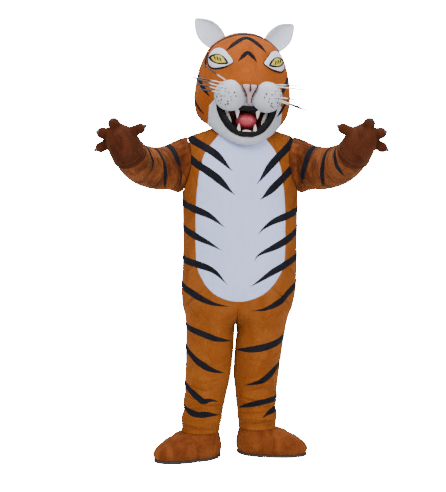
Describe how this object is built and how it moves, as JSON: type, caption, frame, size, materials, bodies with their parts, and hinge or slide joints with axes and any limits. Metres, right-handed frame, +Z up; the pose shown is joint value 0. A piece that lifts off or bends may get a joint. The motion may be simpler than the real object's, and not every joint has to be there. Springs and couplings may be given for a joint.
{
  "type": "tiger mascot costume",
  "caption": "Plush tiger costume filled out as worn: padded head with open mouth, jumpsuit with white belly and tail, clawed paw gloves and slipper feet.",
  "frame": {"origin": "the wearer's shoulder line, in the middle of the suit's neck, where the wearer carries the costume", "axes": "+Z up, the face looks along -Y, +X towards the wearer's left"},
  "size_m": [1.1402, 0.8399, 1.8422],
  "materials": {
    "orange_plush": "short-pile plush",
    "white_plush": "short-pile plush",
    "black_cloth": "smooth woven and gloss-coated cloth",
    "pink_cloth": "smooth stretch cloth",
    "red_cloth": "smooth stretch cloth",
    "tooth_white": "satin",
    "claw_black": "satin",
    "whisker_nylon": "satin",
    "sole_rubber": "matt",
    "steel": "polished"
  },
  "bodies": {
    "root": {"belly": "white_plush", "claw_finger_1_left": "claw_black", "claw_finger_1_right": "claw_black", "claw_finger_2_left": "claw_black", "claw_finger_2_right": "claw_black", "claw_finger_3_left": "claw_black", "claw_finger_3_right": "claw_black", "claw_thumb_left": "claw_black", "claw_thumb_right": "claw_black", "ear_left": "white_plush", "ear_right": "white_plush", "eye_left": "white_plush", "eye_right": "white_plush", "glove_left": "orange_plush", "glove_right": "orange_plush", "head": "orange_plush", "jaw": "white_plush", "lips": "black_cloth", "lower_fang_left": "tooth_white", "lower_fang_right": "tooth_white", "lower_incisors": "tooth_white", "mouth_liner": "red_cloth", "muzzle_left": "white_plush", "muzzle_right": "white_plush", "nose": "pink_cloth", "shoe_left": "orange_plush", "shoe_right": "orange_plush", "side_teeth_left": "tooth_white", "side_teeth_right": "tooth_white", "sleeve_left": "orange_plush", "sleeve_right": "orange_plush", "sole_left": "sole_rubber", "sole_right": "sole_rubber", "suit_back_left": "orange_plush", "suit_back_right": "orange_plush", "suit_front_left": "orange_plush", "suit_front_right": "orange_plush", "tail": "orange_plush", "tongue": "red_cloth", "upper_fang_left": "tooth_white", "upper_fang_right": "tooth_white", "whiskers_left": "whisker_nylon", "whiskers_right": "whisker_nylon", "zip_back": "black_cloth", "zip_slider": "steel"}
  },
  "joints": []
}
